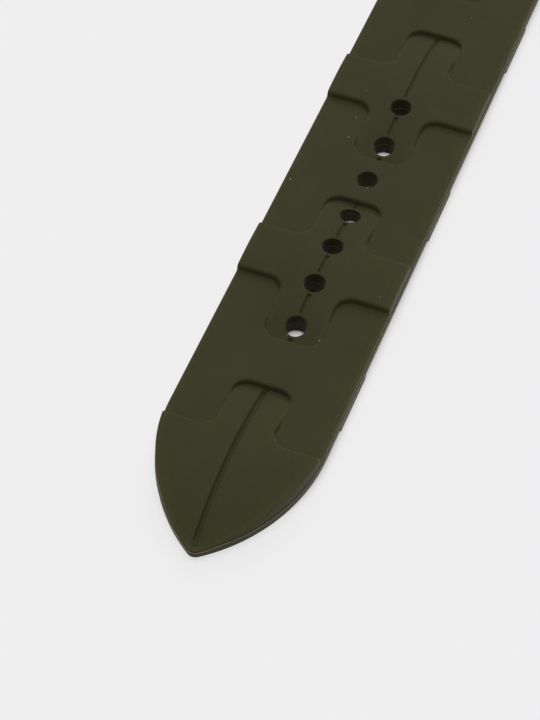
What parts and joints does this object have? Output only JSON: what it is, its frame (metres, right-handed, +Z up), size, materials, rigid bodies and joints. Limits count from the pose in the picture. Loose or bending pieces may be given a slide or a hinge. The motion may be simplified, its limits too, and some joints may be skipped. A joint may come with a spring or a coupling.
{
  "type": "silicone watch strap",
  "caption": "Two-piece silicone watch strap with interlocking raised plates, adjusting holes, keepers, a tang buckle and quick release spring bars.",
  "frame": {"origin": "middle of the overall length, under the strap as it lies on a table", "axes": "+X across the strap, +Y along it from the tip to the buckle, +Z up out of its face"},
  "size_m": [0.0272, 0.2266, 0.0125],
  "materials": {
    "silicone": "fine matte moulded",
    "buckle_steel": "brushed, polished edges",
    "bar_steel": "turned",
    "spring_steel": "drawn wire"
  },
  "bodies": {
    "strap": {"long_strap": "silicone", "short_strap": "silicone", "fixed_keeper": "silicone"},
    "free_keeper": {"free_keeper": "silicone"},
    "buckle_frame": {"buckle_frame": "buckle_steel"},
    "buckle_tang": {"buckle_tang": "buckle_steel"},
    "buckle_bar": {"buckle_bar_sleeve": "bar_steel", "buckle_bar_spring": "spring_steel"},
    "buckle_pin_left": {"buckle_pin_left": "bar_steel"},
    "buckle_pin_right": {"buckle_pin_right": "bar_steel"},
    "long_bar": {"long_bar_sleeve": "bar_steel", "long_bar_pin": "bar_steel", "long_bar_spring": "spring_steel"},
    "long_release": {"long_slide_pin": "bar_steel", "long_release_knob": "bar_steel"},
    "short_bar": {"short_bar_sleeve": "bar_steel", "short_bar_pin": "bar_steel", "short_bar_spring": "spring_steel"},
    "short_release": {"short_slide_pin": "bar_steel", "short_release_knob": "bar_steel"}
  },
  "joints": [
    {"name": "keeper_slide", "type": "slide", "parent": "strap", "child": "free_keeper", "axis": [0, 1, 0], "range_m": [-0.042, 0.012]},
    {"name": "buckle_swing", "type": "hinge", "parent": "strap", "child": "buckle_frame", "pos_m": [0, 0.09926, 0.0039], "axis": [1, 0, 0], "range_deg": [-60, 75]},
    {"name": "tang_swing", "type": "hinge", "parent": "buckle_frame", "child": "buckle_tang", "pos_m": [0, 0.09926, 0.0039], "axis": [1, 0, 0], "range_deg": [0, 70]},
    {"name": "buckle_bar_turn", "type": "hinge", "parent": "strap", "child": "buckle_bar", "pos_m": [0, 0.09926, 0.0039], "axis": [1, 0, 0], "continuous": true},
    {"name": "buckle_pin_left_slide", "type": "slide", "parent": "buckle_bar", "child": "buckle_pin_left", "axis": [1, 0, 0], "range_m": [0, 0.0011], "stiffness_N_per_m": 800, "springref_m": -0.002, "deforming": ["buckle_bar_spring"]},
    {"name": "buckle_pin_right_slide", "type": "slide", "parent": "buckle_bar", "child": "buckle_pin_right", "axis": [-1, 0, 0], "range_m": [0, 0.0011], "stiffness_N_per_m": 800, "springref_m": -0.002, "deforming": ["buckle_bar_spring"]},
    {"name": "long_bar_turn", "type": "hinge", "parent": "strap", "child": "long_bar", "pos_m": [0, 0.01186, 0.0022], "axis": [1, 0, 0], "range_deg": [-20, 20]},
    {"name": "long_release_slide", "type": "slide", "parent": "long_bar", "child": "long_release", "axis": [-1, 0, 0], "range_m": [0, 0.0011], "stiffness_N_per_m": 800, "springref_m": -0.002, "deforming": ["long_bar_spring"]},
    {"name": "short_bar_turn", "type": "hinge", "parent": "strap", "child": "short_bar", "pos_m": [0, 0.01676, 0.0039], "axis": [1, 0, 0], "range_deg": [-20, 20]},
    {"name": "short_release_slide", "type": "slide", "parent": "short_bar", "child": "short_release", "axis": [-1, 0, 0], "range_m": [0, 0.0011], "stiffness_N_per_m": 800, "springref_m": -0.002, "deforming": ["short_bar_spring"]}
  ]
}
